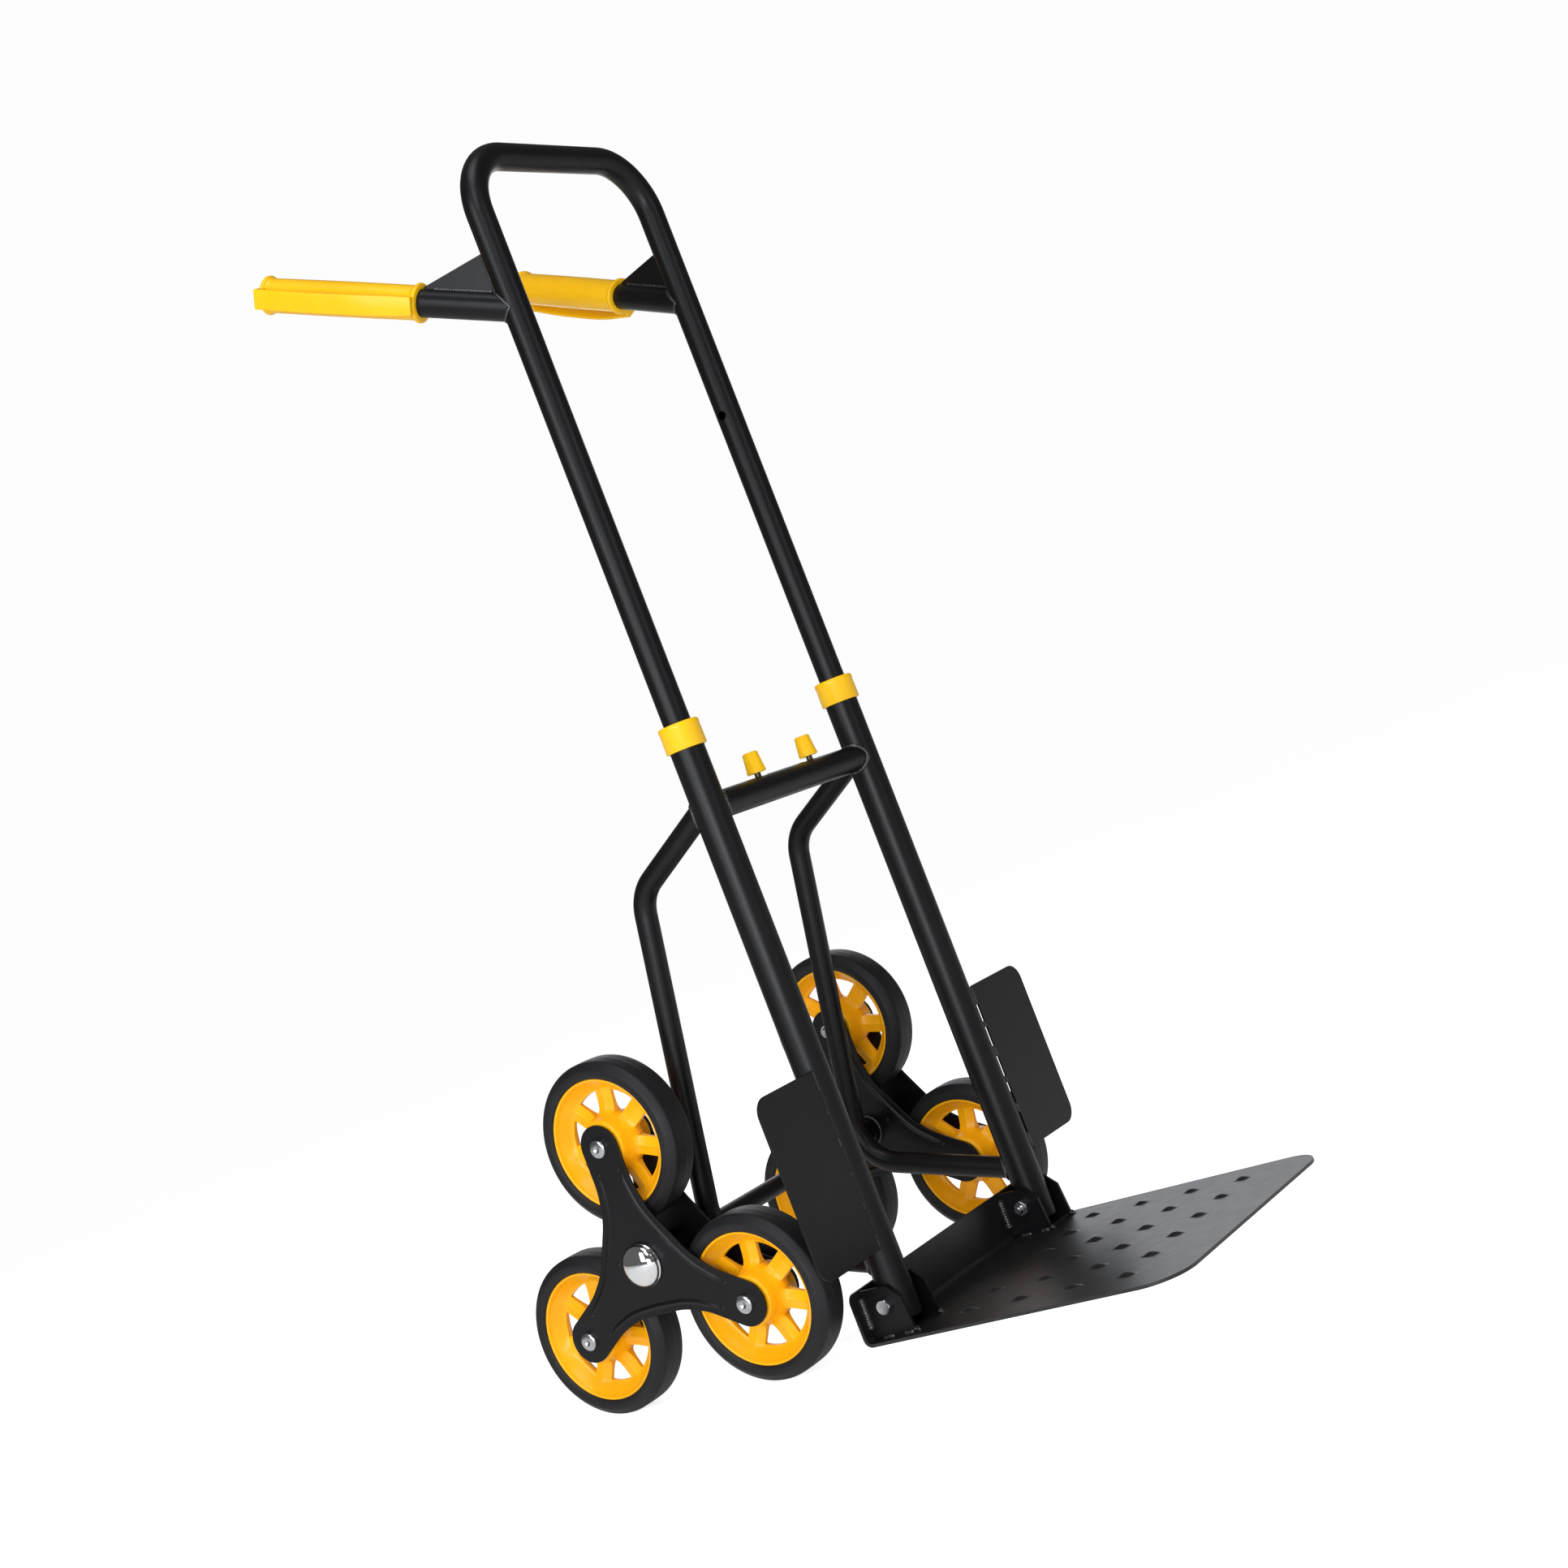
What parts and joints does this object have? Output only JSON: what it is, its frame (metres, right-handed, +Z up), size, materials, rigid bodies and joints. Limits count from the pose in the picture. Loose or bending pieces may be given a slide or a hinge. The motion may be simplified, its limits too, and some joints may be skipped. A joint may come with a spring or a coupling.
{
  "type": "stair climbing trolley",
  "caption": "Folding hand truck with a telescoping U handle, splayed rear grips, hinged toe plate and tri-wheel stair carriers on each side",
  "frame": {"origin": "on the floor plane, on the toe plate's underside, midway between the two main tubes and under their axes", "axes": "+Z up along the main tubes with the trolley upright, -Y the load side where the toe plate points, +Y the side with the wheel carriers and rear grips, -X the left side seen from the front"},
  "size_m": [0.464, 0.6453, 1.1187],
  "materials": {
    "black_powder_coat": "satin",
    "yellow_plastic": "gloss",
    "yellow_wheel": "satin",
    "yellow_grip": "satin",
    "black_plastic": "matte",
    "zinc_steel": "bright zinc plate",
    "spring_steel": "bright",
    "chrome": "polished",
    "tyre_rubber": "matte"
  },
  "bodies": {
    "frame": {"crossbar": "black_powder_coat", "lock_stop": "black_plastic", "axle_tube": "black_powder_coat", "axle_rod": "zinc_steel", "frame_tube_left": "black_powder_coat", "collar_left": "yellow_plastic", "brace_left": "black_powder_coat", "wheel_guard_left": "black_powder_coat", "lock_spring_left": "spring_steel", "axle_cap_left": "chrome", "frame_tube_right": "black_powder_coat", "collar_right": "yellow_plastic", "brace_right": "black_powder_coat", "wheel_guard_right": "black_powder_coat", "lock_spring_right": "spring_steel", "axle_cap_right": "chrome"},
    "handle": {"handle_tube": "black_powder_coat", "handle_guide_left": "black_plastic", "rear_handle_left": "black_powder_coat", "gusset_left": "black_powder_coat", "soft_grip_left": "yellow_grip", "handle_guide_right": "black_plastic", "rear_handle_right": "black_powder_coat", "gusset_right": "black_powder_coat", "soft_grip_right": "yellow_grip"},
    "toe_plate": {"toe_plate": "black_powder_coat", "hinge_bolts": "zinc_steel", "hinge_nuts": "zinc_steel", "hinge_bracket_left": "black_powder_coat", "hinge_bracket_right": "black_powder_coat"},
    "lock_left": {"lock_slider_left": "zinc_steel", "lock_knob_left": "yellow_plastic"},
    "carrier_left": {"carrier_outer_left": "black_powder_coat", "carrier_inner_left": "black_powder_coat", "carrier_hub_left": "black_powder_coat", "wheel_bolts_left": "zinc_steel", "wheel_nuts_left": "zinc_steel"},
    "wheel_left_1": {"wheel_hub_left_1": "yellow_wheel", "tyre_left_1": "tyre_rubber"},
    "wheel_left_2": {"wheel_hub_left_2": "yellow_wheel", "tyre_left_2": "tyre_rubber"},
    "wheel_left_3": {"wheel_hub_left_3": "yellow_wheel", "tyre_left_3": "tyre_rubber"},
    "lock_right": {"lock_slider_right": "zinc_steel", "lock_knob_right": "yellow_plastic"},
    "carrier_right": {"carrier_outer_right": "black_powder_coat", "carrier_inner_right": "black_powder_coat", "carrier_hub_right": "black_powder_coat", "wheel_bolts_right": "zinc_steel", "wheel_nuts_right": "zinc_steel"},
    "wheel_right_1": {"wheel_hub_right_1": "yellow_wheel", "tyre_right_1": "tyre_rubber"},
    "wheel_right_2": {"wheel_hub_right_2": "yellow_wheel", "tyre_right_2": "tyre_rubber"},
    "wheel_right_3": {"wheel_hub_right_3": "yellow_wheel", "tyre_right_3": "tyre_rubber"}
  },
  "joints": [
    {"name": "handle_slide", "type": "slide", "parent": "frame", "child": "handle", "axis": [0, 0, 1], "range_m": [-0.355, 0]},
    {"name": "toe_plate_fold", "type": "hinge", "parent": "frame", "child": "toe_plate", "pos_m": [0, 0, 0.03], "axis": [-1, 0, 0], "range_deg": [0, 90]},
    {"name": "lock_left_slide", "type": "slide", "parent": "frame", "child": "lock_left", "axis": [1, 0, 0], "range_m": [0, 0.012], "stiffness_N_per_m": 300, "springref_m": -0.01, "deforming": ["lock_spring_left"]},
    {"name": "carrier_left_spin", "type": "hinge", "parent": "frame", "child": "carrier_left", "pos_m": [-0.191, 0.184, 0.131], "axis": [1, 0, 0], "continuous": true},
    {"name": "wheel_left_1_spin", "type": "hinge", "parent": "carrier_left", "child": "wheel_left_1", "pos_m": [-0.191, 0.184, 0.241], "axis": [1, 0, 0], "continuous": true},
    {"name": "wheel_left_2_spin", "type": "hinge", "parent": "carrier_left", "child": "wheel_left_2", "pos_m": [-0.191, 0.27926, 0.076], "axis": [1, 0, 0], "continuous": true},
    {"name": "wheel_left_3_spin", "type": "hinge", "parent": "carrier_left", "child": "wheel_left_3", "pos_m": [-0.191, 0.08874, 0.076], "axis": [1, 0, 0], "continuous": true},
    {"name": "lock_right_slide", "type": "slide", "parent": "frame", "child": "lock_right", "axis": [-1, 0, 0], "range_m": [0, 0.012], "stiffness_N_per_m": 300, "springref_m": -0.01, "deforming": ["lock_spring_right"]},
    {"name": "carrier_right_spin", "type": "hinge", "parent": "frame", "child": "carrier_right", "pos_m": [0.191, 0.184, 0.131], "axis": [1, 0, 0], "continuous": true},
    {"name": "wheel_right_1_spin", "type": "hinge", "parent": "carrier_right", "child": "wheel_right_1", "pos_m": [0.191, 0.184, 0.241], "axis": [1, 0, 0], "continuous": true},
    {"name": "wheel_right_2_spin", "type": "hinge", "parent": "carrier_right", "child": "wheel_right_2", "pos_m": [0.191, 0.27926, 0.076], "axis": [1, 0, 0], "continuous": true},
    {"name": "wheel_right_3_spin", "type": "hinge", "parent": "carrier_right", "child": "wheel_right_3", "pos_m": [0.191, 0.08874, 0.076], "axis": [1, 0, 0], "continuous": true}
  ]
}
